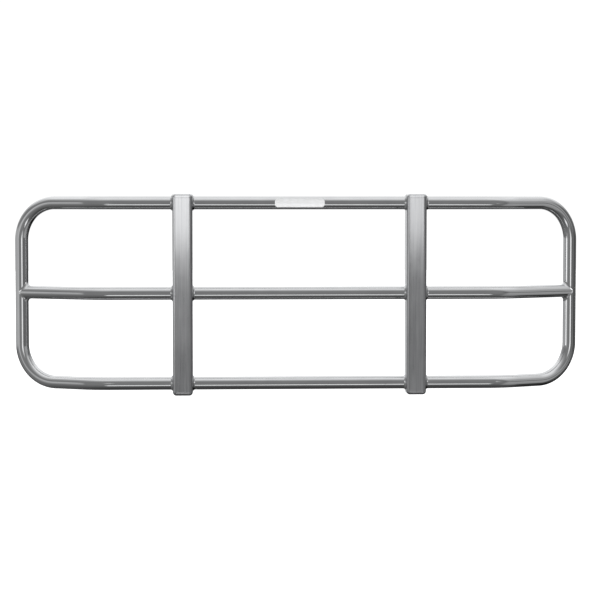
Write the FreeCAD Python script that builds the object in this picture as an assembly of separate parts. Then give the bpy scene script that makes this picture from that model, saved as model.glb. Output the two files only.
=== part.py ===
"""Headache rack for a heavy truck: a polished tube frame on two box-section uprights.

Millimetres, +Z up, X along the width.  The rack faces -Y and its ends sweep back towards +Y.
The origin is the centre of the bolt pattern on the rear mounting faces.
One STEP file is written for each separate piece.
"""
import FreeCAD, Part
import math
import os

V = FreeCAD.Vector
X_DIR, Y_DIR, Z_DIR = V(1, 0, 0), V(0, 1, 0), V(0, 0, 1)
SIDES = (("left", -1), ("right", 1))

# Round tube: 2 in stainless, 3 mm wall
tube_r = 50.8 / 2
tube_wall = 3.0
bore_r = tube_r - tube_wall

# Frame layout
rail_pitch = 345.0                # centre-line of the middle rail to the top or bottom rail
end_x = 1070.0                    # centre-line of the end tube from the middle of the rack
corner_radius = 145.0             # centre-line radius of the end corners
sweep_x = 785.0                   # where the swept centre-lines cross
sweep_angle = math.radians(24)
sweep_radius = 270.0
rail_gap = 6.0                    # between a centre rail and its end tube, inside the upright

# Uprights: 3 in wide box section
upright_x = 447.0
upright_w = 76.2
upright_d = 88.9
upright_wall = 4.0
upright_corner = 14.0
upright_top = rail_pitch + 34.0
upright_bottom = -rail_pitch - 45.0
cap_h = 15.0
cap_wall = 3.0
cap_edge = 13.5                   # rounding of the closed ends
spigot_h = 12.0
spigot_wall = 3.0

# Joining pieces
sleeve_length = 130.0
sleeve_wall = 3.0
weld_leg = 8.0
tee_leg = 7.0
tee_inset = 12.0                  # from the end tube's centre-line to the start of the saddle weld
pad_weld = 5.0

# Rear mounting pads and their M12 holes
pad_w = 48.0
pad_h = 160.0
pad_t = 12.0
pad_z = 240.0
pad_corner = 10.0
hole_pitch = 80.0                 # between the two holes of one pad
thread_d = 12.0
thread_depth = pad_t + upright_wall

# Badge plate on the front of the top rail
badge_w = 190.0
badge_t = 1.6
badge_half_angle = math.radians(36)
badge_end = 12.0
badge_rim = 3.0
badge_rim_t = 0.8

rail_y = -(pad_t + upright_d / 2)             # every rail centre-line
upright_back = -pad_t
rail_heights = (("top", rail_pitch), ("mid", 0.0), ("bottom", -rail_pitch))
rail_start_x = upright_x + rail_gap / 2
sweep_dir = V(math.cos(sweep_angle), math.sin(sweep_angle), 0)
sweep_tangent = sweep_radius * math.tan(sweep_angle / 2)
sweep_reach = (end_x - sweep_x) / math.cos(sweep_angle)


def export(shape, name):
    """Write one piece, after checking that it is a closed, valid shape."""
    if not shape.isValid() or shape.Volume <= 0:
        raise ValueError(name + " is not a valid solid")
    shape.exportStep("parts/" + name + ".step")
    box = shape.BoundBox
    print("%-24s %3d solids %9.1f cm3  z %7.1f to %7.1f"
          % (name, len(shape.Solids), shape.Volume / 1000, box.ZMin, box.ZMax))


def rod(radius, start, end):
    """A round bar between two points."""
    axis = end - start
    return Part.makeCylinder(radius, axis.Length, start, axis)


def pipe(radius, bore, start, end):
    """A straight round tube between two points."""
    return rod(radius, start, end).cut(rod(bore, start, end))


def rounded_box(width, depth, corner, z0, z1):
    """A box with rounded vertical corners, centred on the origin in plan."""
    box = Part.makeBox(width, depth, z1 - z0, V(-width / 2, -depth / 2, z0))
    corners = [e for e in box.Edges if e.BoundBox.ZLength > 1e-3]
    return box.makeFillet(corner, corners)


def bent_bar(radius, start, direction, steps):
    """A round bar that runs straight and bends in turn.

    A step is either a length to run, or a pair: the bend radius and the new direction.
    """
    point, along = V(start), V(direction)
    pieces = []
    for step in steps:
        if isinstance(step, tuple):
            bend_radius, new_along = step
            axis = along.cross(new_along).normalize()
            centre = point + axis.cross(along) * bend_radius
            angle = along.getAngle(new_along)
            disc = Part.Face(Part.Wire(Part.makeCircle(radius, point, along)))
            pieces.append(disc.revolve(centre, axis, math.degrees(angle)))
            turned = FreeCAD.Rotation(axis, math.degrees(angle)).multVec(point - centre)
            point = centre + turned
            along = V(new_along)
        else:
            pieces.append(rod(radius, point, point + along * step))
            point = point + along * step
    return pieces[0].multiFuse(pieces[1:]).removeSplitter()


def bent_tube(start, direction, steps):
    """The round tube along the same path as a bent bar."""
    outer = bent_bar(tube_r, start, direction, steps)
    return outer.cut(bent_bar(bore_r, start, direction, steps))


def swept_steps():
    """The first steps of a swept rail: out of the upright and round the sweep bend."""
    return [sweep_x - sweep_tangent - rail_start_x, (sweep_radius, sweep_dir)]


def end_tube_foot():
    """The point on the right end tube's centre-line at the height of the middle rail."""
    return V(sweep_x, rail_y, 0) + sweep_dir * sweep_reach


def mirrored(shape, side):
    """The right-hand shape as it stands, or its mirror image for the left."""
    return shape if side > 0 else shape.mirror(V(0, 0, 0), X_DIR)


def end_loop():
    """One bent tube: two swept arms and the upright end between them."""
    arm = sweep_reach - sweep_tangent - corner_radius
    steps = swept_steps()
    steps += [arm, (corner_radius, -Z_DIR)]
    steps += [2 * (rail_pitch - corner_radius), (corner_radius, -sweep_dir)]
    steps += [arm, (sweep_radius, -X_DIR)]
    steps += [swept_steps()[0]]
    return bent_tube(V(rail_start_x, rail_y, rail_pitch), X_DIR, steps)


def mid_rail():
    """The swept middle tube, coped to fit against the end tube."""
    steps = swept_steps() + [sweep_reach - sweep_tangent]
    tube = bent_tube(V(rail_start_x, rail_y, 0), X_DIR, steps)
    foot = end_tube_foot()
    post = rod(tube_r, foot - Z_DIR * tube_r * 2, foot + Z_DIR * tube_r * 2)
    return min(tube.cut(post).Solids, key=lambda s: s.BoundBox.XMin)


def tee_weld():
    """The saddle-shaped bead between the end tube and the coped middle tube."""
    foot = end_tube_foot()
    reach = tube_r * 2
    low, high = foot - Z_DIR * reach, foot + Z_DIR * reach
    bead = rod(tube_r + tee_leg, foot - sweep_dir * reach, foot - sweep_dir * tee_inset)
    bead = bead.common(rod(tube_r + tee_leg, low, high))
    bead = bead.cut(rod(tube_r, foot - sweep_dir * reach, foot)).cut(rod(tube_r, low, high))
    return min(bead.Solids, key=lambda s: s.BoundBox.XMin)


def centre_rail(height):
    """A straight tube between the two uprights."""
    half = upright_x - rail_gap / 2
    return pipe(tube_r, bore_r, V(-half, rail_y, height), V(half, rail_y, height))


def splice_sleeve(side, height):
    """The inner sleeve that lines up a centre rail with its end tube inside the upright."""
    start = V(side * upright_x - sleeve_length / 2, rail_y, height)
    return pipe(bore_r, bore_r - sleeve_wall, start, start + X_DIR * sleeve_length)


def placed_at_upright(shape, side):
    """A shape drawn about the origin, moved on to an upright's axis."""
    moved = shape.copy()
    moved.translate(V(side * upright_x, rail_y, 0))
    return moved


def rail_hole(side, height):
    """The room that a rail takes through both sides of an upright."""
    start = V(side * upright_x - upright_w, rail_y, height)
    return rod(tube_r, start, start + X_DIR * upright_w * 2)


def upright(side):
    """A box-section post with a hole through both sides for each rail."""
    z0 = upright_bottom + cap_h
    z1 = upright_top - cap_h
    outer = rounded_box(upright_w, upright_d, upright_corner, z0, z1)
    inner = rounded_box(upright_w - 2 * upright_wall, upright_d - 2 * upright_wall,
                        upright_corner - upright_wall, z0, z1)
    post = placed_at_upright(outer.cut(inner), side)
    for _, height in rail_heights:
        post = post.cut(rail_hole(side, height))
    for centre in hole_centres(side):
        post = post.cut(rod(thread_d / 2, centre, centre - Y_DIR * thread_depth))
    return post


def end_cap(side, facing):
    """A rounded cap that closes the top or bottom of a post, with a spigot inside it."""
    body = rounded_box(upright_w, upright_d, upright_corner, 0, cap_h)
    rim = [e for e in body.Edges if e.BoundBox.ZMin > cap_h - 1e-3]
    body = body.makeFillet(cap_edge, rim)
    inner_w = upright_w - 2 * upright_wall
    inner_d = upright_d - 2 * upright_wall
    inner_corner = upright_corner - upright_wall
    body = body.fuse(rounded_box(inner_w, inner_d, inner_corner, -spigot_h, 0))
    hollow = rounded_box(inner_w - 2 * spigot_wall, inner_d - 2 * spigot_wall,
                         inner_corner - spigot_wall, -spigot_h, cap_h - cap_wall)
    body = body.cut(hollow).removeSplitter()
    if facing < 0:
        body = body.mirror(V(0, 0, 0), Z_DIR)
        body.translate(Z_DIR * (upright_bottom + cap_h))
    else:
        body.translate(Z_DIR * (upright_top - cap_h))
    body = placed_at_upright(body, side)
    return body.cut(rail_hole(side, facing * rail_pitch))


def hole_centres(side):
    """Centres of the threaded holes on the rear faces of one upright's pads."""
    centres = []
    for pad in (pad_z, -pad_z):
        for offset in (hole_pitch / 2, -hole_pitch / 2):
            centres.append(V(side * upright_x, 0, pad + offset))
    return centres


def mounting_pad(side, height):
    """A thick plate on the back of the upright, with two threaded holes."""
    pad = Part.makeBox(pad_w, pad_t, pad_h,
                       V(side * upright_x - pad_w / 2, -pad_t, height - pad_h / 2))
    corners = [e for e in pad.Edges if e.BoundBox.YLength > 1e-3]
    pad = pad.makeFillet(pad_corner, corners)
    for centre in hole_centres(side):
        pad = pad.cut(rod(thread_d / 2, centre, centre - Y_DIR * thread_depth))
    return pad


def post_envelope(side):
    """The solid outer form of an upright with its caps, which no weld may enter."""
    block = rounded_box(upright_w, upright_d, upright_corner, upright_bottom, upright_top)
    rims = [e for e in block.Edges if e.BoundBox.ZLength < 1e-3]
    return placed_at_upright(block.makeFillet(cap_edge, rims), side)


def ring_weld(side, facing, height):
    """A fillet weld round a rail where it enters the side of an upright."""
    foot = V(side * upright_x + facing * upright_w / 2, rail_y, height)
    outward = X_DIR * facing
    bead = Part.makeCone(tube_r + weld_leg, tube_r, weld_leg, foot, outward)
    bead = bead.fuse(rod(tube_r + weld_leg, foot - outward * cap_edge, foot))
    bead = bead.cut(rod(tube_r, foot - outward * weld_leg, foot + outward * weld_leg))
    return bead.cut(post_envelope(side)).removeSplitter()


def upright_welds(side):
    """The six ring welds of one upright, three rails on its two sides."""
    rings = []
    for _, height in rail_heights:
        for facing in (-1, 1):
            rings.append(ring_weld(side, facing, height))
    return Part.makeCompound(rings)


def pad_welds(side):
    """A fillet weld down each long edge of both mounting pads."""
    length = pad_h - 2 * pad_corner
    envelope = post_envelope(side)
    beads = []
    for height in (pad_z, -pad_z):
        pad = mounting_pad(side, height)
        for edge in (-1, 1):
            low = V(side * upright_x + edge * pad_w / 2, upright_back, height - length / 2)
            bead = rod(pad_weld, low, low + Z_DIR * length)
            beads.append(bead.cut(envelope).cut(pad))
    return Part.makeCompound(beads)


def badge_sector(inner, outer, width, half_angle, end_radius):
    """A curved plate on the front of the top rail, with rounded ends."""
    start = V(-width / 2, rail_y, rail_pitch)
    ring = pipe(outer, inner, start, start + X_DIR * width)
    half_height = outer * math.sin(half_angle)
    mask = Part.makeBox(width, outer * 2, half_height * 2,
                        V(-width / 2, rail_y - outer * 2, rail_pitch - half_height))
    corners = [e for e in mask.Edges if e.BoundBox.YLength > 1e-3]
    return ring.common(mask.makeFillet(end_radius, corners))


def badge_plate():
    """A blank plate with a raised plain rim."""
    plate = badge_sector(tube_r, tube_r + badge_t, badge_w, badge_half_angle, badge_end)
    rim = badge_sector(tube_r + badge_t, tube_r + badge_t + badge_rim_t, badge_w,
                       badge_half_angle, badge_end)
    inset_angle = badge_half_angle - badge_rim / tube_r
    inside = badge_sector(tube_r + badge_t, tube_r + badge_t + badge_rim_t,
                          badge_w - 2 * badge_rim, inset_angle, badge_end - badge_rim)
    return plate.fuse(rim.cut(inside)).removeSplitter()


def main():
    os.makedirs("parts", exist_ok=True)
    loop, rail, tee = end_loop(), mid_rail(), tee_weld()
    for name, side in SIDES:
        export(mirrored(loop, side), name + "_end_loop")
        export(mirrored(rail, side), name + "_mid_rail")
        export(mirrored(tee, side), name + "_tee_weld")
        export(upright(side), name + "_upright")
        export(end_cap(side, 1), name + "_top_cap")
        export(end_cap(side, -1), name + "_bottom_cap")
        export(mounting_pad(side, pad_z), name + "_upper_pad")
        export(mounting_pad(side, -pad_z), name + "_lower_pad")
        export(upright_welds(side), name + "_upright_welds")
        export(pad_welds(side), name + "_pad_welds")
        for level, height in rail_heights:
            export(splice_sleeve(side, height), name + "_" + level + "_sleeve")
    for level, height in rail_heights:
        export(centre_rail(height), "centre_" + level + "_rail")
    export(badge_plate(), "badge_plate")


main()
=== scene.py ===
"""Headache rack: polished tubes, satin uprights, welds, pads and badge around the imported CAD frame."""
import math

import bpy
from mathutils import Matrix, Vector


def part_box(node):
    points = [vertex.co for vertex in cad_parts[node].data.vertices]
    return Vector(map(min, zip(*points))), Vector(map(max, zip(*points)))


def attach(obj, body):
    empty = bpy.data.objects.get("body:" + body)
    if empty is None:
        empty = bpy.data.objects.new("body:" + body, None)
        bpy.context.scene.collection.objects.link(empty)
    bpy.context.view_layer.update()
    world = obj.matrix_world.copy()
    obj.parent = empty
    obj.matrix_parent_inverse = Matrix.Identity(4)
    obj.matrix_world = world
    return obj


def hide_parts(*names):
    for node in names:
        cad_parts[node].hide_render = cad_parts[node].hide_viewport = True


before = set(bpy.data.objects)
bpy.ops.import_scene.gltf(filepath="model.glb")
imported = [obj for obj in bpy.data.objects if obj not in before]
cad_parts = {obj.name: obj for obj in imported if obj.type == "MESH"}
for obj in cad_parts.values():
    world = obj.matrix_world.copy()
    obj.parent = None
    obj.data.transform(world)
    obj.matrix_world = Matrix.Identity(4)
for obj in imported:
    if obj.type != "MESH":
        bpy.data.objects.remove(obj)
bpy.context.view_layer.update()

BODY = "root"
SIDES = (("left", -1), ("right", 1))
LEVELS = ("top", "mid", "bottom")
X_DIR, Y_DIR, Z_DIR = Vector((1, 0, 0)), Vector((0, 1, 0)), Vector((0, 0, 1))

# ---------------------------------------------------------------- sizes, in metres
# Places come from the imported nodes; bends, walls and small details repeat the CAD values.
top_rail_low, top_rail_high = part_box("centre_top_rail")
upright_low, upright_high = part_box("right_upright")
pad_low, pad_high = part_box("right_upper_pad")
TUBE_R = (top_rail_high.z - top_rail_low.z) / 2
TUBE_WALL = 0.003
BORE_R = TUBE_R - TUBE_WALL
RAIL_Y = (top_rail_low.y + top_rail_high.y) / 2
RAIL_Z = (top_rail_low.z + top_rail_high.z) / 2
RAIL_HEIGHTS = (RAIL_Z, 0.0, -RAIL_Z)
RAIL_HALF = top_rail_high.x
UPRIGHT_X = (upright_low.x + upright_high.x) / 2
UPRIGHT_W = upright_high.x - upright_low.x
UPRIGHT_D = upright_high.y - upright_low.y
RAIL_START = 2 * UPRIGHT_X - RAIL_HALF
UPRIGHT_CORNER = 0.014
CORNER_FADE = 0.22                # share of that radius over which the corners darken
UPRIGHT_WALL = 0.004
CAP_H = 0.015
CAP_EDGE = 0.0135
CAP_WALL = 0.003
SPIGOT_H = 0.012
SEAM = 0.0006
SEAM_SHARE = 0.992                # the section's outline at its very ends, beside the seam
HAIR = 0.00005                    # how far a cutter stays inside a face that it trims to
END_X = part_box("right_end_loop")[1].x - TUBE_R
CORNER_R = 0.145
SWEEP_X = 0.785
SWEEP_ANGLE = math.radians(24)
SWEEP_R = 0.270
SWEEP_DIR = Vector((math.cos(SWEEP_ANGLE), math.sin(SWEEP_ANGLE), 0))
SWEEP_TANGENT = SWEEP_R * math.tan(SWEEP_ANGLE / 2)
SWEEP_REACH = (END_X - SWEEP_X) / math.cos(SWEEP_ANGLE)
FOOT = Vector((SWEEP_X, RAIL_Y, 0)) + SWEEP_DIR * SWEEP_REACH
WELD_LEG = 0.008
WELD_FULLNESS = 1.5               # 1 is a quarter-circle hollow and 2 is flat
WELD_ROOT = 0.010                 # how far a ring weld runs in before it is trimmed
TEE_FILLET = 0.016
PAD_CORNER = 0.010
PAD_CHAMFER = 0.0012
PAD_WELD = 0.005
HOLE_PITCH = 0.080
HOLE_DEPTH = 0.020                # through a pad and the wall behind it
CUT_OVER = 0.002                  # how far a cutter stands out of a face, at least
COUNTERSINK = 0.001
THREAD_R = 0.006
THREAD_PITCH = 0.00175
THREAD_DEPTH = 0.0009
BADGE_HALF_W = 0.095
BADGE_T = 0.0016
BADGE_RIM_T = 0.0008
BADGE_RIM_W = 0.003
BADGE_BEVEL = 0.0004
BADGE_SINK = 0.0002               # how far its back lies inside the tube's surface
BADGE_HALF_ANGLE = math.radians(36)
BADGE_END = 0.012

AROUND = 96                       # segments round a tube
HOLE_AROUND = 48                  # segments round a bolt hole
ARC_STEP = math.radians(3)        # along a bend
CORNER_STEPS = 12                 # round an outline's corner, and round a cap's edge
BADGE_STEPS = 12                  # across the badge, and along its straight edge
BADGE_CORNER_STEPS = 10


# ---------------------------------------------------------------- mesh helpers
def shade(mesh, smooth_angle):
    """Smooth shading, except over edges sharper than an angle in degrees."""
    mesh.shade_smooth()
    mesh.set_sharp_from_angle(angle=math.radians(smooth_angle))


def add_piece(name, verts, faces, uvs=None, smooth_angle=40):
    """A mesh object from points, faces and, where given, one UV pair per face corner."""
    mesh = bpy.data.meshes.new(name)
    mesh.from_pydata([tuple(v) for v in verts], [], faces)
    if uvs:
        layer = mesh.uv_layers.new(name="UVMap")
        for loop, uv in zip(layer.data, uvs):
            loop.uv = uv
    mesh.validate()
    obj = bpy.data.objects.new(name, mesh)
    bpy.context.scene.collection.objects.link(obj)
    shade(mesh, smooth_angle)
    return obj


def finish_piece(obj, nodes, mat):
    """Gives a piece its material, its body and the CAD nodes that it stands for."""
    obj.data.materials.clear()
    obj.data.materials.append(mat)
    for polygon in obj.data.polygons:
        polygon.material_index = 0
    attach(obj, BODY)
    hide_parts(*nodes)


def grid_faces(rows, columns, close_rows=False):
    """Quads between successive rows of points, each row a ring of columns."""
    faces = []
    for i in range(rows if close_rows else rows - 1):
        a = i * columns
        b = (i + 1) % rows * columns
        for j in range(columns):
            k = (j + 1) % columns
            faces.append((a + j, a + k, b + k, b + j))
    return faces


def end_caps(count, columns):
    """The first and the last of the rings that make up count points, each as one face."""
    return [tuple(reversed(range(columns))), tuple(range(count - columns, count))]


def turned_back(faces):
    """The same faces, looking the other way."""
    return [tuple(reversed(f)) for f in faces]


def mirrored(verts, faces, uvs, side):
    """The right-hand mesh as it stands, or its mirror image with its faces turned back."""
    if side > 0:
        return verts, faces, uvs
    flipped = [Vector((-v.x, v.y, v.z)) for v in verts]
    turned_uvs, at = [], 0
    for f in faces:
        if uvs:
            turned_uvs += reversed(uvs[at:at + len(f)])
        at += len(f)
    return flipped, turned_back(faces), turned_uvs


def bent_path(start, direction, steps):
    """Points and directions along a path of straight runs and round bends.

    A step is a length to run, or a pair: the bend radius and the new direction.
    """
    point, along = Vector(start), Vector(direction)
    path = [(point.copy(), along.copy())]
    for step in steps:
        if isinstance(step, tuple):
            radius, new_along = step
            axis = along.cross(new_along).normalized()
            centre = point + axis.cross(along) * radius
            angle = along.angle(new_along)
            count = max(2, round(angle / ARC_STEP))
            arm = point - centre
            for i in range(1, count + 1):
                turn = Matrix.Rotation(angle * i / count, 3, axis)
                path.append((centre + turn @ arm, turn @ along))
            point = path[-1][0].copy()
            along = Vector(new_along)
        else:
            point = point + along * step
            path.append((point.copy(), along.copy()))
    return path


def path_frames(path, reference):
    """At each point of a path: point, direction, two directions square to it, distance so far."""
    side = reference
    frames, distance, previous = [], 0.0, path[0]
    for point, along in path:
        side = previous[1].rotation_difference(along) @ side
        side = (side - along * side.dot(along)).normalized()
        distance += (point - previous[0]).length
        frames.append((point, along, side, along.cross(side), distance))
        previous = (point, along)
    return frames


def tube_strip(ring_a, ring_b, distance_a, distance_b, turned=False):
    """Quads and UVs (turn, metres) between two rings, each given by the number of its first point."""
    faces, uvs = [], []
    for j in range(AROUND):
        k = (j + 1) % AROUND
        u, next_u = j / AROUND, (j + 1) / AROUND
        quad = (ring_a + j, ring_a + k, ring_b + k, ring_b + j)
        corners = ((u, distance_a), (next_u, distance_a), (next_u, distance_b), (u, distance_b))
        faces.append(quad[::-1] if turned else quad)
        uvs += corners[::-1] if turned else corners
    return faces, uvs


def tube_mesh(path, reference, end_trim=None):
    """A round tube along a path: outer wall, bore and ring ends, with UVs.

    reference is a direction square to the path at its start; it is carried along the bends.
    end_trim(offset) says how far a point of the last ring is set back along the path.
    """
    frames = path_frames(path, reference)
    last = len(frames) - 1
    verts = []
    for radius in (TUBE_R, BORE_R):
        for i, (point, along, a, b, _) in enumerate(frames):
            for j in range(AROUND):
                turn = 2 * math.pi * j / AROUND
                offset = (a * math.cos(turn) + b * math.sin(turn)) * radius
                trim = end_trim(offset) if end_trim and i == last else 0.0
                verts.append(point + offset - along * trim)
    distances = [f[-1] for f in frames]
    bore = len(frames) * AROUND
    strips = []
    for wall in (0, bore):
        for i in range(last):
            ring = wall + i * AROUND
            strips.append(tube_strip(ring, ring + AROUND, distances[i], distances[i + 1], wall == bore))
    for i in (0, last):
        ring = i * AROUND
        strips.append(tube_strip(ring, bore + ring, distances[i], distances[i], i == 0))
    faces = [f for strip_faces, _ in strips for f in strip_faces]
    uvs = [uv for _, strip_uvs in strips for uv in strip_uvs]
    return verts, faces, uvs


def outline(width, depth, corner):
    """Points of a rounded rectangle about the origin, anticlockwise from the +X side."""
    points = []
    hx, hy = width / 2 - corner, depth / 2 - corner
    for quarter, (cx, cy) in enumerate(((hx, hy), (-hx, hy), (-hx, -hy), (hx, -hy))):
        for i in range(CORNER_STEPS + 1):
            turn = math.pi / 2 * (quarter + i / CORNER_STEPS)
            points.append((cx + corner * math.cos(turn), cy + corner * math.sin(turn)))
    return points


def stacked(rings, place, through=False):
    """A closed skin through rings of (outline, height); through joins the last ring to the first."""
    verts = [place(x, y, height) for points, height in rings for x, y in points]
    columns = len(rings[0][0])
    faces = grid_faces(len(rings), columns, close_rows=through)
    return verts, faces if through else faces + end_caps(len(verts), columns)


def revolved(profile, origin, axis, reference, segments=AROUND, capped=False):
    """Points (along, radius) turned about an axis: a ring-shaped solid, or a capped bar."""
    other = axis.cross(reference)
    verts = []
    for along, radius in profile:
        for j in range(segments):
            turn = 2 * math.pi * j / segments
            spoke = reference * math.cos(turn) + other * math.sin(turn)
            verts.append(origin + axis * along + spoke * radius)
    faces = grid_faces(len(profile), segments, close_rows=not capped)
    return verts, faces + end_caps(len(verts), segments) if capped else faces


def rod_mesh(radius, start, end, reference, segments=AROUND):
    """A closed round bar between two points."""
    profile = ((0.0, radius), ((end - start).length, radius))
    return revolved(profile, start, (end - start).normalized(), reference, segments, capped=True)


def joined(parts):
    """One list of points and faces from several meshes."""
    verts, faces = [], []
    for part_verts, part_faces in parts:
        shift = len(verts)
        verts += part_verts
        faces += [tuple(i + shift for i in f) for f in part_faces]
    return verts, faces


def mesh_data(obj):
    """An object's points and faces as plain lists."""
    verts = [v.co.copy() for v in obj.data.vertices]
    return verts, [tuple(p.vertices) for p in obj.data.polygons]


def apply_modifiers(obj):
    """Makes the result of an object's modifiers its own mesh."""
    graph = bpy.context.evaluated_depsgraph_get()
    result = bpy.data.meshes.new_from_object(obj.evaluated_get(graph))
    obj.modifiers.clear()
    old = obj.data
    obj.data = result
    bpy.data.meshes.remove(old)


def cut_away(obj, cutters, smooth_angle=40):
    """Subtracts closed meshes from an object, for good."""
    tool = add_piece("cutter", *joined(cutters))
    modifier = obj.modifiers.new("cut", "BOOLEAN")
    modifier.operation = "DIFFERENCE"
    modifier.solver = "EXACT"
    modifier.object = tool
    apply_modifiers(obj)
    bpy.data.objects.remove(tool)
    shade(obj.data, smooth_angle)


def flatten_normals(obj, smooth_angle=40):
    """Keeps big flat faces flat in shade beside their rounded corners."""
    shade(obj.data, smooth_angle)
    modifier = obj.modifiers.new("flat faces", "WEIGHTED_NORMAL")
    modifier.keep_sharp = True
    modifier.weight = 100
    apply_modifiers(obj)


# ---------------------------------------------------------------- node helpers
class NodeTree:
    """Short calls that add and join the nodes of a material or of the world."""

    def __init__(self, tree):
        self.tree = tree

    def node(self, kind, **settings):
        made = self.tree.nodes.new(kind)
        for key, value in settings.items():
            setattr(made, key, value)
        return made

    def link(self, source, target):
        self.tree.links.new(source, target)

    def maths(self, operation, a, b=0.0):
        """The result of a maths node; a and b are numbers or sockets."""
        made = self.node("ShaderNodeMath", operation=operation)
        for socket, value in zip(made.inputs, (a, b)):
            if isinstance(value, (int, float)):
                socket.default_value = value
            else:
                self.link(value, socket)
        return made.outputs[0]

    def split(self, vector):
        """The X, Y and Z of a vector."""
        made = self.node("ShaderNodeSeparateXYZ")
        self.link(vector, made.inputs[0])
        return made.outputs

    def span(self, value, low, high, to_low=0.0, to_high=1.0, kind="LINEAR"):
        """Maps a value from one range to another, held at the ends."""
        made = self.node("ShaderNodeMapRange", interpolation_type=kind, clamp=True)
        ends = (("From Min", low), ("From Max", high), ("To Min", to_low), ("To Max", to_high))
        for key, number in ends:
            made.inputs[key].default_value = number
        self.link(value, made.inputs["Value"])
        return made.outputs["Result"]


class Surface(NodeTree):
    """A material on the Principled shader, with the textures that several share."""

    def __init__(self, name, base_color, roughness, metallic=1.0, specular=0.5):
        self.material = bpy.data.materials.new(name)
        self.material.use_nodes = True
        super().__init__(self.material.node_tree)
        self.shader = self.tree.nodes["Principled BSDF"]
        self.shader.inputs["Base Color"].default_value = (*base_color, 1)
        self.shader.inputs["Roughness"].default_value = roughness
        self.shader.inputs["Metallic"].default_value = metallic
        self.shader.inputs["Specular IOR Level"].default_value = specular

    def object_vector(self, scale):
        """Object coordinates times a scale on each axis."""
        coordinates = self.node("ShaderNodeTexCoord")
        mapping = self.node("ShaderNodeMapping")
        mapping.inputs["Scale"].default_value = scale
        self.link(coordinates.outputs["Object"], mapping.inputs["Vector"])
        return mapping.outputs["Vector"]

    def tube_vector(self, around, along):
        """A seamless vector from a tube's UVs: round its section and along its length."""
        coordinates = self.node("ShaderNodeUVMap", uv_map="UVMap")
        share, distance, _ = self.split(coordinates.outputs["UV"])
        turn = self.maths("MULTIPLY", share, 2 * math.pi)
        combined = self.node("ShaderNodeCombineXYZ")
        cosine = self.maths("MULTIPLY", self.maths("COSINE", turn), around)
        sine = self.maths("MULTIPLY", self.maths("SINE", turn), around)
        self.link(cosine, combined.inputs["X"])
        self.link(sine, combined.inputs["Y"])
        self.link(self.maths("MULTIPLY", distance, along), combined.inputs["Z"])
        return combined.outputs[0]

    def noise(self, vector, scale=1.0, detail=3.0, roughness=0.5):
        """A smooth random value from 0 to 1, mostly near 0.5."""
        made = self.node("ShaderNodeTexNoise")
        made.inputs["Scale"].default_value = scale
        made.inputs["Detail"].default_value = detail
        made.inputs["Roughness"].default_value = roughness
        self.link(vector, made.inputs["Vector"])
        return made.outputs["Fac"]

    def blend(self, factor, color_a, color_b):
        """A colour between two others, each three numbers or a socket."""
        made = self.node("ShaderNodeMix", data_type="RGBA")
        self.link(factor, made.inputs["Factor"])
        for key, color in (("A", color_a), ("B", color_b)):
            socket = [i for i in made.inputs if i.name == key and i.type == "RGBA"][0]
            if isinstance(color, tuple):
                socket.default_value = (*color, 1)
            else:
                self.link(color, socket)
        return [o for o in made.outputs if o.type == "RGBA"][0]

    def bump(self, height, strength, distance, normal=None):
        """Bumps the shader's surface, on top of an earlier bump where one is given."""
        made = self.node("ShaderNodeBump")
        made.inputs["Strength"].default_value = strength
        made.inputs["Distance"].default_value = distance
        self.link(height, made.inputs["Height"])
        if normal:
            self.link(normal, made.inputs["Normal"])
        self.link(made.outputs["Normal"], self.shader.inputs["Normal"])
        return made.outputs["Normal"]

    def set(self, key, source):
        """Feeds a socket into one of the shader's inputs."""
        self.link(source, self.shader.inputs[key])


# ---------------------------------------------------------------- materials
def polished_tube():
    """Mirror-polished stainless tube: faint lengthwise lines, hazy patches, slight waves."""
    s = Surface("polished_tube", (0.80, 0.81, 0.82), 0.08)
    lines = s.noise(s.tube_vector(60, 3.0), detail=5.0, roughness=0.65)
    haze = s.noise(s.tube_vector(0.7, 7.0), scale=1.6, detail=4.0, roughness=0.6)
    smudges = s.noise(s.tube_vector(1.4, 22.0), scale=2.0, detail=5.0, roughness=0.7)
    tint = s.span(haze, 0.3, 0.7)
    s.set("Base Color", s.blend(tint, (0.76, 0.765, 0.775), (0.83, 0.835, 0.84)))
    clean = s.span(smudges, 0.52, 0.75, 0.0, 0.07)
    fine = s.span(lines, 0.3, 0.7, 0.0, 0.05)
    s.set("Roughness", s.maths("ADD", s.maths("ADD", clean, fine), 0.045))
    waves = s.noise(s.tube_vector(0.5, 14.0), scale=1.5, detail=2.0)
    normal = s.bump(waves, 0.12, 0.0006)
    s.bump(lines, 0.05, 0.0001, normal)
    return s.material


def painted_corner_shade_mask(s):
    """1 on the rounded corners of the two box sections, where painted shade darkens them, and 0 on their
    flat faces.
    """
    x, y, _ = s.split(s.object_vector((1, 1, 1)))
    outward = s.maths("SUBTRACT", s.maths("ABSOLUTE", x), UPRIGHT_X)
    forward = s.maths("SUBTRACT", y, RAIL_Y)
    masks = []
    for away, half in ((outward, UPRIGHT_W / 2), (forward, UPRIGHT_D / 2)):
        flat = half - UPRIGHT_CORNER
        masks.append(s.span(s.maths("ABSOLUTE", away), flat, flat + CORNER_FADE * UPRIGHT_CORNER))
    return s.maths("MULTIPLY", *masks)


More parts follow.
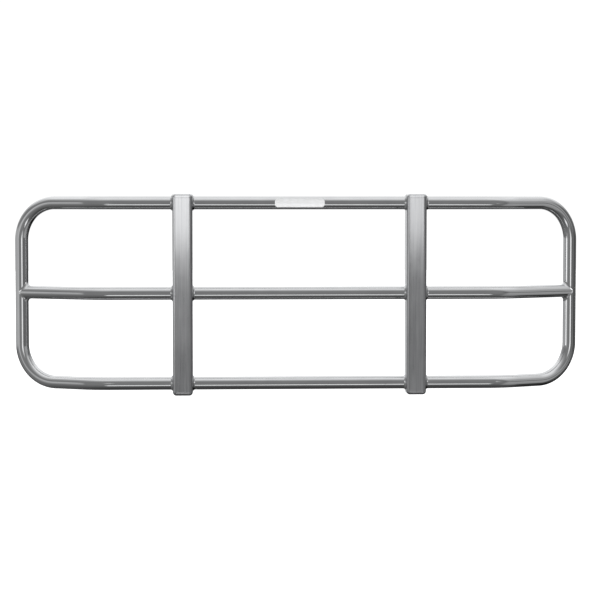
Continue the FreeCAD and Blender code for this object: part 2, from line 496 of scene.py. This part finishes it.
def satin_section():
    """Brushed stainless: fine vertical grain, broader streaks, soft mottling and painted shade darkening
    the corners.
    """
    s = Surface("satin_section", (0.7, 0.7, 0.71), 0.35)
    grain = s.noise(s.object_vector((900, 900, 9)), detail=4.0, roughness=0.6)
    streaks = s.noise(s.object_vector((150, 150, 3.5)), detail=3.0)
    patches = s.noise(s.object_vector((14, 14, 7)), detail=4.0, roughness=0.6)
    broad = s.maths("ADD", s.maths("MULTIPLY", streaks, 0.42), s.maths("MULTIPLY", patches, 0.26))
    mix = s.maths("ADD", s.maths("MULTIPLY", grain, 0.32), broad)
    tint = s.span(mix, 0.38, 0.62)
    brushed = s.blend(tint, (0.61, 0.615, 0.63), (0.80, 0.805, 0.815))
    # painted shade on the rounded corners: a darker copy of the brushed tint stands in for the dark
    # reflection they catch
    corner_painted_shade = s.blend(tint, (0.49, 0.495, 0.505), (0.64, 0.645, 0.655))
    s.set("Base Color", s.blend(painted_corner_shade_mask(s), brushed, corner_painted_shade))
    s.set("Roughness", s.maths("ADD", s.span(grain, 0.3, 0.7, 0.26, 0.36),
                               s.span(patches, 0.4, 0.7, 0.0, 0.07)))
    normal = s.bump(grain, 0.22, 0.00012)
    s.bump(streaks, 0.14, 0.00025, normal)
    return s.material


def polished_weld():
    """A weld ground and polished, with small hollows left by the wheel."""
    s = Surface("polished_weld", (0.78, 0.79, 0.80), 0.14)
    lumps = s.noise(s.object_vector((110, 110, 110)), detail=3.0)
    scratches = s.noise(s.object_vector((500, 500, 500)), detail=4.0, roughness=0.7)
    s.set("Base Color", s.blend(s.span(lumps, 0.3, 0.7), (0.70, 0.705, 0.715), (0.82, 0.825, 0.83)))
    s.set("Roughness", s.span(scratches, 0.3, 0.75, 0.08, 0.22))
    normal = s.bump(lumps, 0.55, 0.0011)
    s.bump(scratches, 0.12, 0.0001, normal)
    return s.material


def weld_bead():
    """An as-welded bead: bright grey with a faint straw tint in places."""
    s = Surface("weld_bead", (0.60, 0.60, 0.60), 0.30)
    tint = s.noise(s.object_vector((50, 50, 22)), detail=3.0)
    speckle = s.noise(s.object_vector((600, 600, 600)), detail=3.0)
    s.set("Base Color", s.blend(s.span(tint, 0.42, 0.70), (0.66, 0.665, 0.675), (0.60, 0.575, 0.53)))
    s.set("Roughness", s.span(speckle, 0.3, 0.7, 0.24, 0.36))
    s.bump(speckle, 0.15, 0.00015)
    return s.material


def milled_plate():
    """Machined stainless plate with milling lines across it."""
    s = Surface("milled_plate", (0.62, 0.63, 0.64), 0.34)
    lines = s.noise(s.object_vector((12, 12, 700)), detail=3.0)
    stain = s.noise(s.object_vector((25, 25, 25)), detail=4.0, roughness=0.6)
    s.set("Base Color", s.blend(s.span(stain, 0.35, 0.7), (0.64, 0.65, 0.66), (0.52, 0.525, 0.53)))
    s.set("Roughness", s.span(lines, 0.3, 0.7, 0.27, 0.42))
    s.bump(lines, 0.25, 0.0001)
    return s.material


def drawn_steel():
    """Plain drawn tube for the hidden sleeves."""
    s = Surface("drawn_steel", (0.5, 0.5, 0.51), 0.4)
    lines = s.noise(s.object_vector((8, 500, 500)), detail=3.0)
    stain = s.noise(s.object_vector((40, 40, 40)), detail=4.0)
    s.set("Base Color", s.blend(s.span(stain, 0.35, 0.7), (0.52, 0.52, 0.53), (0.42, 0.415, 0.41)))
    s.set("Roughness", s.span(lines, 0.3, 0.7, 0.32, 0.5))
    s.bump(lines, 0.2, 0.0001)
    return s.material


def badge_enamel():
    """White enamel with faint orange peel and dust."""
    s = Surface("badge_enamel", (0.88, 0.885, 0.89), 0.22, metallic=0.0)
    s.shader.inputs["Coat Weight"].default_value = 0.6
    s.shader.inputs["Coat Roughness"].default_value = 0.06
    peel = s.noise(s.object_vector((700, 700, 700)), detail=2.0)
    dust = s.noise(s.object_vector((45, 45, 45)), detail=5.0, roughness=0.7)
    s.set("Base Color", s.blend(s.span(dust, 0.45, 0.75), (0.90, 0.905, 0.91), (0.80, 0.80, 0.795)))
    s.set("Roughness", s.span(dust, 0.4, 0.75, 0.16, 0.34))
    s.bump(peel, 0.06, 0.00008)
    return s.material


# ---------------------------------------------------------------- the tubes
def swept_steps():
    """Out of the upright and round the sweep bend."""
    return [SWEEP_X - SWEEP_TANGENT - RAIL_START, (SWEEP_R, SWEEP_DIR)]


def end_loop_path():
    """Along the upper arm, down the end tube and back along the lower arm."""
    arm = SWEEP_REACH - SWEEP_TANGENT - CORNER_R
    steps = swept_steps() + [arm, (CORNER_R, -Z_DIR)]
    steps += [2 * (RAIL_Z - CORNER_R), (CORNER_R, -SWEEP_DIR)]
    steps += [arm, (SWEEP_R, -X_DIR), swept_steps()[0]]
    return bent_path(Vector((RAIL_START, RAIL_Y, RAIL_Z)), X_DIR, steps)


def mid_rail_path():
    """Along the swept rail, as far as the end tube's centre-line."""
    steps = swept_steps() + [SWEEP_REACH - SWEEP_TANGENT]
    return bent_path(Vector((RAIL_START, RAIL_Y, 0)), X_DIR, steps)


def cope(offset):
    """How far a point of the mid rail's last ring is set back to meet the end tube."""
    across = offset.dot(Z_DIR.cross(SWEEP_DIR))
    return math.sqrt(max(TUBE_R ** 2 - across ** 2, 0.0))


def build_tubes(mat):
    """The swept tubes of both ends and the three rails between the uprights."""
    loop = tube_mesh(end_loop_path(), Y_DIR)
    rail = tube_mesh(mid_rail_path(), Y_DIR, end_trim=cope)
    for name, side in SIDES:
        for part, node in ((loop, "_end_loop"), (rail, "_mid_rail")):
            verts, faces, uvs = mirrored(*part, side)
            obj = add_piece(name + node + "_tube", verts, faces, uvs)
            finish_piece(obj, [name + node], mat)
    for level, height in zip(LEVELS, RAIL_HEIGHTS):
        start = Vector((-RAIL_HALF, RAIL_Y, height))
        part = tube_mesh(bent_path(start, X_DIR, [2 * RAIL_HALF]), Y_DIR)
        obj = add_piece("centre_" + level + "_rail_tube", *part)
        finish_piece(obj, ["centre_" + level + "_rail"], mat)


# ---------------------------------------------------------------- uprights and caps
def hole_centres(side):
    """Centres of the threaded holes on the rear faces of one upright's pads."""
    pad_z = (pad_low.z + pad_high.z) / 2
    places = []
    for pad in (pad_z, -pad_z):
        for offset in (HOLE_PITCH / 2, -HOLE_PITCH / 2):
            places.append(Vector((side * UPRIGHT_X, pad_high.y, pad + offset)))
    return places


def rail_cutter(side, height):
    """A bar right through an upright, where a rail passes."""
    start = Vector((side * UPRIGHT_X - UPRIGHT_W, RAIL_Y, height))
    return rod_mesh(TUBE_R, start, start + X_DIR * UPRIGHT_W * 2, Y_DIR)


def bolt_cutter(centre, depth):
    """A bolt hole with a small countersink at its mouth."""
    above = 2 * CUT_OVER
    profile = ((above, THREAD_R + COUNTERSINK + above), (-COUNTERSINK, THREAD_R), (-depth, THREAD_R))
    verts, faces = revolved(profile, centre, Y_DIR, Z_DIR, HOLE_AROUND, capped=True)
    return verts, turned_back(faces)


def drawn_in(amount):
    """The upright's outline, drawn in by an amount on every side."""
    return outline(UPRIGHT_W - 2 * amount, UPRIGHT_D - 2 * amount, UPRIGHT_CORNER - amount)


def build_upright(name, side, mat):
    """The box section with its rail holes and bolt holes cut through."""
    outer, inner = drawn_in(0.0), drawn_in(UPRIGHT_WALL)
    bevel = [(x * SEAM_SHARE, y * SEAM_SHARE) for x, y in outer]
    low, high = upright_low.z, upright_high.z
    rings = [(bevel, low), (outer, low + SEAM), (outer, high - SEAM), (bevel, high),
             (inner, high), (inner, low)]
    centre = Vector((side * UPRIGHT_X, RAIL_Y, 0))
    verts, faces = stacked(rings, lambda x, y, z: centre + Vector((x, y, z)), through=True)
    obj = add_piece(name + "_upright_section", verts, faces)
    cutters = [rail_cutter(side, z) for z in RAIL_HEIGHTS]
    for hole in hole_centres(side):
        ends = hole + Y_DIR * CUT_OVER, hole - Y_DIR * HOLE_DEPTH
        cutters.append(rod_mesh(THREAD_R, *ends, Z_DIR, HOLE_AROUND))
    cut_away(obj, cutters)
    flatten_normals(obj)
    finish_piece(obj, [name + "_upright"], mat)


def cap_rounding():
    """How far in, and how high above the cap's seat, each ring of its rounded edge lies."""
    turns = [math.pi / 2 * i / CORNER_STEPS for i in range(CORNER_STEPS + 1)]
    return [(CAP_EDGE * (1 - math.cos(t)), CAP_H - CAP_EDGE * (1 - math.sin(t))) for t in turns]


def post_block(side):
    """The outer form of an upright with both caps on, a hair inside its faces, as a closed cutter."""
    edge = [(drawn_in(amount + HAIR), height - HAIR) for amount, height in cap_rounding()]
    rings = [(ring, upright_low.z - height) for ring, height in reversed(edge)]
    rings += [(ring, upright_high.z + height) for ring, height in edge]
    centre = Vector((side * UPRIGHT_X, RAIL_Y, 0))
    return stacked(rings, lambda x, y, z: centre + Vector((x, y, z)))


def build_cap(name, side, end, mat):
    """A rounded cap with a spigot; its rim leaves a fine seam against the post."""
    facing = 1 if end == "top" else -1
    seat = upright_high.z if facing > 0 else upright_low.z
    spigot, hollow = drawn_in(UPRIGHT_WALL), drawn_in(UPRIGHT_WALL + CAP_WALL)
    rings = [(hollow, CAP_H - CAP_WALL), (hollow, -SPIGOT_H), (spigot, -SPIGOT_H), (spigot, SEAM / 2)]
    rings += [(drawn_in(SEAM), SEAM / 2), (drawn_in(0.0), SEAM * 1.5)]
    rings += [(drawn_in(amount), height) for amount, height in cap_rounding()]
    centre = Vector((side * UPRIGHT_X, RAIL_Y, seat))
    verts, faces = stacked(rings, lambda x, y, z: centre + Vector((x, y, z * facing)))
    if facing < 0:
        faces = turned_back(faces)
    obj = add_piece(f"{name}_{end}_cap_shell", verts, faces, smooth_angle=35)
    cut_away(obj, [rail_cutter(side, facing * RAIL_Z)])
    flatten_normals(obj, 35)
    finish_piece(obj, [f"{name}_{end}_cap"], mat)


# ---------------------------------------------------------------- sleeves and welds
def dress_sleeves(name, mat):
    """The sleeves hidden inside an upright keep their CAD shape and only get a material."""
    for level in LEVELS:
        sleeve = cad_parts[f"{name}_{level}_sleeve"]
        sleeve.data.materials.clear()
        sleeve.data.materials.append(mat)


def ring_weld(side, facing, height):
    """A slightly hollow weld round a rail at the side of an upright, not yet trimmed to it."""
    origin = Vector((side * UPRIGHT_X + facing * UPRIGHT_W / 2, RAIL_Y, height))
    steps = 10
    profile = [(-WELD_ROOT, TUBE_R), (-WELD_ROOT, TUBE_R + WELD_LEG)]
    for i in range(steps + 1):
        turn = math.pi / 2 * i / steps
        out, up = math.cos(turn) ** WELD_FULLNESS, math.sin(turn) ** WELD_FULLNESS
        profile.append((WELD_LEG * (1 - out), TUBE_R + WELD_LEG * (1 - up)))
    return revolved(profile, origin, X_DIR * facing, Z_DIR)


def build_ring_welds(name, side, mat):
    """The six ring welds of one upright, three rails on its two sides."""
    rings = [ring_weld(side, facing, z) for z in RAIL_HEIGHTS for facing in (-1, 1)]
    obj = add_piece(name + "_upright_fillets", *joined(rings))
    cut_away(obj, [post_block(side)], smooth_angle=50)
    finish_piece(obj, [name + "_upright_welds"], mat)


def tee_weld_mesh():
    """The blend that a ball rolls out between the end tube and the mid rail."""
    back = -SWEEP_DIR
    across = Z_DIR.cross(back)
    reach = TUBE_R + TEE_FILLET
    shrink = TUBE_R / reach
    root = 0.9 * shrink           # puts the blend's hidden edge inside both tubes
    rows, arc_steps = 96, 8
    verts = []
    for i in range(rows):
        turn = -2 * math.pi * (i + 0.5) / rows
        b, c = reach * math.cos(turn), reach * math.sin(turn)
        a = abs(c)
        ball = FOOT + back * a + across * b + Z_DIR * c
        to_post = (FOOT + back * a * shrink + across * b * shrink + Z_DIR * c) - ball
        to_rail = (FOOT + back * a + across * b * shrink + Z_DIR * c * shrink) - ball
        for k in range(arc_steps + 1):
            spoke = to_post.lerp(to_rail, k / arc_steps)
            verts.append(ball + spoke.normalized() * TEE_FILLET)
        verts.append(FOOT + (back * a + across * b + Z_DIR * c) * root)
    return verts, grid_faces(rows, arc_steps + 2, close_rows=True)


def build_tee_welds(mat):
    """The blend at the outer end of each mid rail."""
    for name, side in SIDES:
        verts, faces = tee_weld_mesh()
        verts, faces, _ = mirrored(verts, faces, None, side)
        obj = add_piece(name + "_tee_fillet", verts, faces, smooth_angle=60)
        finish_piece(obj, [name + "_tee_weld"], mat)


def bead_mesh(side, edge, low, high):
    """A bead with soft ripples in the corner between a pad's edge and the upright's back.

    taper rounds its ends, wander slowly changes its size, hollow flattens its face, and phase
    bends the ripples.
    """
    ripple, step = 0.0031, 0.0005
    first_turn, sweep = math.radians(92), math.radians(150)
    corner = Vector((side * UPRIGHT_X + edge * (pad_high.x - pad_low.x) / 2, pad_low.y, 0))
    rows, spokes = round((high - low) / step), 12
    verts = []
    for i in range(rows + 1):
        z = low + (high - low) * i / rows
        from_end = min(1.0, (z - low) / PAD_WELD, (high - z) / PAD_WELD)
        taper = max(0.15, math.sqrt(1 - (1 - from_end) ** 2))
        wander = 0.015 * math.sin(z * 410) + 0.015 * math.sin(z * 173 + 2)
        for k in range(spokes + 1):
            turn = first_turn - sweep * k / spokes
            phase = z / ripple + 0.5 * math.cos(turn - math.radians(40)) + 0.4 * math.sin(z * 95)
            hollow = 0.13 * math.sin(2 * turn) ** 2 if turn > 0 else 0.0
            swell = 0.97 - hollow + wander + 0.008 * math.cos(2 * math.pi * phase)
            radius = PAD_WELD * taper * swell
            verts.append(corner + Vector((edge * math.cos(turn) * radius, math.sin(turn) * radius, z)))
        verts.append(corner + Vector((-edge * 0.0006, -0.001, z)))
    columns = spokes + 2
    faces = grid_faces(rows + 1, columns) + end_caps(len(verts), columns)
    return verts, turned_back(faces) if edge > 0 else faces


def build_pad_welds(name, side, mat):
    """The four beads of one upright, down both long edges of its two pads."""
    low, high = pad_low.z + PAD_CORNER, pad_high.z - PAD_CORNER
    spans = ((low, high), (-high, -low))
    beads = [bead_mesh(side, edge, *span) for span in spans for edge in (-1, 1)]
    obj = add_piece(name + "_pad_beads", *joined(beads))
    cut_away(obj, [post_block(side)], smooth_angle=60)
    finish_piece(obj, [name + "_pad_welds"], mat)


# ---------------------------------------------------------------- mounting pads
def thread_ridge(centre, depth):
    """The helical ridge of an M12 thread inside a hole."""
    segments = 36
    count = int(depth / THREAD_PITCH * segments)
    root, crest = THREAD_R + 0.0001, THREAD_R - THREAD_DEPTH
    half = THREAD_PITCH * 0.46
    tip = half * 0.15
    start, run = 0.0012 + half, depth - 0.002    # the top edge starts just below the countersink
    verts = []
    for i in range(count + 1):
        turn = 2 * math.pi * i / segments
        y = -start - run * i / count
        spoke = Vector((math.cos(turn), 0, math.sin(turn)))
        for radius, shift in ((root, half), (crest, tip), (crest, -tip), (root, -half)):
            verts.append(centre + spoke * radius + Y_DIR * (y + shift))
    return verts, grid_faces(count + 1, 4) + end_caps(len(verts), 4)


def build_pad(name, side, level, mat):
    """A plate with rounded corners, a chamfered rear edge and two threaded holes."""
    flip = 1 if level == "upper" else -1
    middle = Vector((side * UPRIGHT_X, 0, flip * (pad_low.z + pad_high.z) / 2))
    width, height = pad_high.x - pad_low.x, pad_high.z - pad_low.z
    full = outline(width, height, PAD_CORNER)
    edge = outline(width - 2 * PAD_CHAMFER, height - 2 * PAD_CHAMFER, PAD_CORNER - PAD_CHAMFER)
    rings = [(full, pad_low.y), (full, pad_high.y - PAD_CHAMFER), (edge, pad_high.y)]
    verts, faces = stacked(rings, lambda x, z, y: middle + Vector((x, y, z)))
    obj = add_piece(f"{name}_{level}_pad_plate", verts, turned_back(faces), smooth_angle=30)
    centres = [c for c in hole_centres(side) if c.z * flip > 0]
    depth = pad_high.y - pad_low.y
    cut_away(obj, [bolt_cutter(c, depth + 2 * CUT_OVER) for c in centres])
    ridges = add_piece("ridges", *joined([thread_ridge(c, depth) for c in centres]))
    merged = joined([mesh_data(obj), mesh_data(ridges)])
    bpy.data.objects.remove(ridges)
    bpy.data.objects.remove(obj)
    obj = add_piece(f"{name}_{level}_pad_plate", *merged, smooth_angle=30)
    flatten_normals(obj, 30)
    finish_piece(obj, [f"{name}_{level}_pad"], mat)


# ---------------------------------------------------------------- badge
def badge_chain(inset):
    """Points (x, angle) along the top edge of the badge outline, from its right end to its left."""
    half_w, half_a = BADGE_HALF_W - inset, BADGE_HALF_ANGLE - inset / TUBE_R
    corner = max(BADGE_END - inset, 0.001)
    points = []
    for i in range(BADGE_CORNER_STEPS + 1):
        turn = math.pi / 2 * i / BADGE_CORNER_STEPS
        in_x, in_a = corner * (1 - math.cos(turn)), corner / TUBE_R * (1 - math.sin(turn))
        points.append((half_w - in_x, half_a - in_a))
    flat = half_w - corner
    points += [(flat - 2 * flat * i / BADGE_STEPS, half_a) for i in range(1, BADGE_STEPS)]
    return points + [(-x, a) for x, a in reversed(points[:BADGE_CORNER_STEPS + 1])]


def badge_point(x, angle, radius):
    """A point at a radius from the top rail's axis; angle 0 is straight forward."""
    return Vector((x, RAIL_Y - radius * math.cos(angle), RAIL_Z + radius * math.sin(angle)))


def badge_ring(inset, radius):
    """A closed ring of points: top edge, left end, bottom edge, right end."""
    chain = badge_chain(inset)
    side_a = chain[0][1]
    ends = [side_a - 2 * side_a * k / BADGE_STEPS for k in range(1, BADGE_STEPS)]
    points = chain + [(chain[-1][0], a) for a in ends]
    points += [(x, -a) for x, a in reversed(chain)] + [(chain[0][0], a) for a in reversed(ends)]
    return [badge_point(x, a, radius) for x, a in points]


def badge_sheet(inset, radius, ring_start, first_free):
    """The curved sheet that closes a ring: its new inner points and its faces.

    ring_start and first_free number the ring's first point and the first new one.
    """
    chain, across = badge_chain(inset), BADGE_STEPS
    count = len(chain)
    rows, verts = [], []
    for i, (x, a) in enumerate(chain):
        row = [ring_start + i]
        for k in range(1, across):
            if i == 0:
                row.append(ring_start + 2 * count + 2 * (across - 1) - k)
            elif i == count - 1:
                row.append(ring_start + count + k - 1)
            else:
                row.append(first_free + len(verts))
                verts.append(badge_point(x, a - 2 * a * k / across, radius))
        row.append(ring_start + 2 * count + across - 2 - i)
        rows.append(row)
    faces = []
    for upper, lower in zip(rows, rows[1:]):
        for k in range(across):
            faces.append((upper[k], lower[k], lower[k + 1], upper[k + 1]))
    return verts, faces


def build_badge(mat):
    """A blank curved plate with a raised rim on the front of the top rail."""
    base, face = TUBE_R - BADGE_SINK, TUBE_R + BADGE_T
    crest = face + BADGE_RIM_T
    outer, inner = BADGE_BEVEL, BADGE_RIM_W - BADGE_BEVEL
    foot = BADGE_RIM_W + BADGE_BEVEL
    levels = ((0, base), (0, crest - BADGE_BEVEL), (outer, crest), (inner, crest),
              (BADGE_RIM_W, crest - BADGE_BEVEL), (foot, face))
    rings = [badge_ring(inset, radius) for inset, radius in levels]
    columns = len(rings[0])
    verts = [v for ring in rings for v in ring]
    faces = grid_faces(len(rings), columns)
    front_verts, front_faces = badge_sheet(foot, face, (len(rings) - 1) * columns, len(verts))
    verts += front_verts
    back_verts, back_faces = badge_sheet(0, base, 0, len(verts))
    verts += back_verts
    faces += front_faces + turned_back(back_faces)
    obj = add_piece("badge_blank", verts, faces, smooth_angle=35)
    finish_piece(obj, ["badge_plate"], mat)


# ---------------------------------------------------------------- stage, light and camera
# The studio's grey levels in front of the rack and behind it: elevation in degrees, level.
WORLD_FRONT = ((-90, 0.04), (-65, 0.08), (-45, 0.14), (-20, 0.20), (0, 0.22), (10, 0.22),
               (25, 0.21), (42, 0.36), (55, 0.64), (65, 0.84), (90, 0.92))
WORLD_BACK = ((-90, 0.04), (-45, 0.05), (-15, 0.08), (0, 0.15), (20, 0.50), (35, 0.92), (90, 0.92))
# Soft-edged patches on it, in degrees: azimuth from, to, softness; elevation from, to, softness;
# level, where a negative one dims. Azimuth 0 is straight in front, and grows towards +X.
WORLD_GLOWS = ((-145, -62, 22, -4, 5, 5, 0.24),
               (-60, -46, 6, -16, 8, 8, 0.13),
               (-150, -85, 15, 36, 60, 10, 0.18),
               (44, 70, 12, -45, 45, 10, 0.15),
               (38, 76, 10, -7, 0.5, 2, -0.20),
               (38, 140, 18, 32, 60, 12, 0.16),
               (78, 140, 14, -50, 16, 14, -0.10),
               (165, 200, 14, -30, 20, 12, 0.75),
               (-200, -165, 14, -30, 20, 12, 0.75),
               (-5, 11, 8, -38, -27.5, 2, 0.80))
STRIP_BEAM = 40                   # full angle of the narrow lights, in degrees


def window(w, value, low, high, soft):
    """1 between two values, falling to 0 over soft on each side."""
    rise = w.span(value, low - soft, low, kind="SMOOTHSTEP")
    fall = w.span(value, high + soft, high, kind="SMOOTHSTEP")
    return w.maths("MULTIPLY", rise, fall)


def ramp(w, elevation, stops):
    """A grey level for each elevation in degrees, joined by straight lines."""
    made = w.node("ShaderNodeValToRGB")
    w.link(w.span(elevation, -90, 90), made.inputs["Fac"])
    elements = made.color_ramp.elements
    while len(elements) < len(stops):
        elements.new(0.5)
    for element, (angle, level) in zip(elements, stops):
        element.position = (angle + 90) / 180
        element.color = (level, level, level, 1)
    return made.outputs["Color"]


def studio_level(w):
    """The studio's grey level in the direction of a ray."""
    x, y, z = w.split(w.node("ShaderNodeTexCoord").outputs["Generated"])
    degrees = 180 / math.pi
    elevation = w.maths("MULTIPLY", w.maths("ARCSINE", z), degrees)
    azimuth = w.maths("MULTIPLY", w.maths("ARCTAN2", x, w.maths("MULTIPLY", y, -1.0)), degrees)
    front, back = ramp(w, elevation, WORLD_FRONT), ramp(w, elevation, WORLD_BACK)
    behind = w.span(y, 0.15, 0.75, kind="SMOOTHSTEP")
    level = w.maths("ADD", front, w.maths("MULTIPLY", behind, w.maths("SUBTRACT", back, front)))
    for az_low, az_high, az_soft, el_low, el_high, el_soft, strength in WORLD_GLOWS:
        glow = w.maths("MULTIPLY", window(w, azimuth, az_low, az_high, az_soft),
                       window(w, elevation, el_low, el_high, el_soft))
        level = w.maths("ADD", level, w.maths("MULTIPLY", glow, strength))
    return level


def build_world():
    """A studio all round, which the camera itself sees as plain white."""
    world = bpy.data.worlds.new("studio")
    bpy.context.scene.world = world
    world.use_nodes = True
    w = NodeTree(world.node_tree)
    w.tree.nodes.clear()
    studio = w.node("ShaderNodeBackground")
    studio.inputs["Color"].default_value = (0.99, 0.995, 1.0, 1)
    w.link(studio_level(w), studio.inputs["Strength"])
    white = w.node("ShaderNodeBackground")
    white.inputs["Strength"].default_value = 1.05
    white.inputs["Color"].default_value = (1, 1, 1, 1)
    chosen = w.node("ShaderNodeMixShader")
    sources = (w.node("ShaderNodeLightPath").outputs["Is Camera Ray"], studio.outputs[0], white.outputs[0])
    for source, socket in zip(sources, chosen.inputs):
        w.link(source, socket)
    w.link(chosen.outputs[0], w.node("ShaderNodeOutputWorld").inputs["Surface"])


def build_floor():
    """A plain pale floor well below the rack, which hangs as if on its bolts."""
    half, height = 30.0, -1.1
    verts = [(x, y, height) for x, y in ((-half, -half), (half, -half), (half, half), (-half, half))]
    floor = add_piece("floor", verts, [(0, 1, 2, 3)])
    s = Surface("pale_floor", (0.9, 0.9, 0.9), 0.9, metallic=0.0, specular=0.0)
    s.shader.inputs["Emission Color"].default_value = (1, 1, 1, 1)
    s.shader.inputs["Emission Strength"].default_value = 0.8
    floor.data.materials.append(s.material)
    floor.visible_glossy = False
    floor.visible_shadow = False


def area_light(name, place, target, size, radiance, receivers, beam=180):
    """A rectangular light of a given radiance that lights only some of the pieces.

    beam is the full angle, in degrees, that a grid on the light lets through.
    """
    data = bpy.data.lights.new(name, "AREA")
    data.shape = "RECTANGLE"
    data.size, data.size_y = size
    data.energy = radiance * size[0] * size[1] * math.pi
    if beam < 180:
        half = math.radians(beam / 2)
        data.spread = 2 * half
        data.energy *= 1 - half / math.tan(half)
    light = bpy.data.objects.new(name, data)
    light.location = place
    light.rotation_euler = (Vector(target) - Vector(place)).to_track_quat("-Z", "Y").to_euler()
    light.visible_camera = False
    bpy.context.scene.collection.objects.link(light)
    group = bpy.data.collections.new(name + "_receivers")
    for obj in receivers:
        group.objects.link(obj)
    light.light_linking.receiver_collection = group


def pieces_named(*endings):
    """The mesh pieces whose names end in one of the given ways."""
    return [o for o in bpy.context.scene.objects if o.type == "MESH" and o.name.endswith(endings)]


def build_lights():
    """Lights that put the photo's bright bands on each piece.

    The two uprights are lit alike, but for small differences that make the left one brighter.
    """
    axis = Vector((0, RAIL_Y, 0))
    for name, side in SIDES:
        satin = pieces_named(name + "_upright_section", name + "_top_cap_shell", name + "_bottom_cap_shell")
        x = side * UPRIGHT_X - 0.12
        z = 0.599 + 0.007 * side
        area_light(name + "_upright_top", (x, -0.60, z), (x, RAIL_Y, z - 0.02), (0.76, 0.86),
                   0.86 - 0.09 * side, satin)
        area_light(name + "_upright_low", (x, -0.60, -0.02), (x, RAIL_Y, -0.02), (0.76, 0.40),
                   0.04 - 0.03 * side, satin)
        area_light(name + "_upright_side", (-2.6, -1.0, 0.55), (0, RAIL_Y, 0.55), (1.6, 1.6),
                   0.66 - 0.12 * side, satin)
    fillets = pieces_named("_upright_fillets", "_tee_fillet")
    area_light("fillets_right", (2.6, -1.5, 0.25), axis, (0.9, 1.1), 1.7, fillets)
    area_light("fillets_left", (-2.6, -1.5, 0.25), axis, (0.7, 1.1), 1.1, fillets)
    area_light("badge_fill", (0, -1.2, 1.0), axis + Z_DIR * RAIL_Z, (0.8, 0.8), 1.1,
               pieces_named("badge_blank"))
    for name, piece, place, target, size, radiance in (
            ("left_strip", "left_end_loop_tube", (-0.965, -0.93, -0.05), (-1.07, 0.07, -0.05),
             (0.36, 0.54), 1.0),
            ("right_strip", "right_end_loop_tube", (1.24, -0.93, -0.05), (1.07, 0.07, -0.05),
             (0.32, 0.54), 1.15),
            ("right_side_strip", "right_end_loop_tube", (-2.20, -1.18, -0.175), (1.07, 0.07, -0.175),
             (1.1, 0.66), 1.15)):
        area_light(name, place, target, size, radiance, pieces_named(piece), beam=STRIP_BEAM)


def build_camera():
    """A long lens almost square on, slightly left of the middle and slightly above it."""
    distance, yaw, rise = 6.74, math.radians(3.0), math.radians(3.0)
    middle = Vector((0, RAIL_Y, 0))
    back = Vector((-math.sin(yaw) * math.cos(rise), -math.cos(yaw) * math.cos(rise), math.sin(rise)))
    data = bpy.data.cameras.new("camera")
    data.lens = 107.25
    data.sensor_width = 36
    data.clip_end = 100
    camera = bpy.data.objects.new("camera", data)
    camera.location = middle + back * distance
    aim = middle + Vector((-0.0173, 0, -0.0077))    # a touch left of the middle and below it
    camera.rotation_euler = (aim - camera.location).to_track_quat("-Z", "Y").to_euler()
    bpy.context.scene.collection.objects.link(camera)
    bpy.context.scene.camera = camera


# ---------------------------------------------------------------- build
build_camera()
build_world()
build_floor()
bpy.context.scene.view_settings.view_transform = "Standard"

tube_metal = polished_tube()
satin_metal = satin_section()
fillet_metal = polished_weld()
bead_metal = weld_bead()
plate_metal = milled_plate()
sleeve_metal = drawn_steel()

build_tubes(tube_metal)
for side_name, side_sign in SIDES:
    build_upright(side_name, side_sign, satin_metal)
    for cap_end in ("top", "bottom"):
        build_cap(side_name, side_sign, cap_end, satin_metal)
    build_ring_welds(side_name, side_sign, fillet_metal)
    build_pad_welds(side_name, side_sign, bead_metal)
    for pad_level in ("upper", "lower"):
        build_pad(side_name, side_sign, pad_level, plate_metal)
    dress_sleeves(side_name, sleeve_metal)
build_tee_welds(fillet_metal)
build_badge(badge_enamel())
build_lights()
